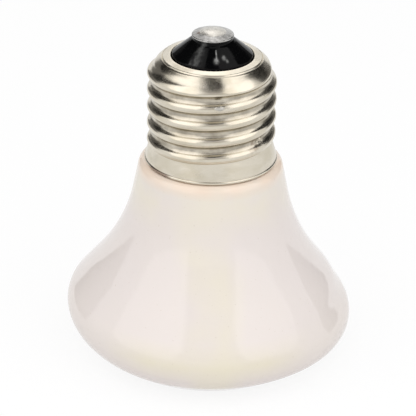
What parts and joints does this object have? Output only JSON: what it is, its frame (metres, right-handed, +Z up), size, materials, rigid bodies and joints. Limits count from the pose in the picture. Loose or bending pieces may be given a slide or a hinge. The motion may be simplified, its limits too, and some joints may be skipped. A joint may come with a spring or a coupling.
{
  "type": "ceramic heat emitter",
  "caption": "Bell-shaped glazed ceramic heat emitter with a nickel-plated screw cap, a black glass insulator and a domed centre contact.",
  "frame": {"origin": "middle of the flat ceramic face that it stands on", "axes": "+Z up the axis from the flat face to the centre contact, -Y towards the front of the picture"},
  "size_m": [0.06, 0.06, 0.0704],
  "materials": {
    "glazed_ceramic": "gloss",
    "nickel_plate": "polished",
    "black_glass": "gloss",
    "contact_metal": "satin",
    "solder": "satin",
    "cement": "matte",
    "lead_wire": "satin"
  },
  "bodies": {
    "root": {"ceramic_body": "glazed_ceramic", "screw_shell": "nickel_plate", "glass_insulator": "black_glass", "centre_contact": "contact_metal", "contact_solder": "solder", "side_solder": "solder", "cap_cement": "cement", "centre_lead": "lead_wire", "side_lead": "lead_wire"}
  },
  "joints": []
}
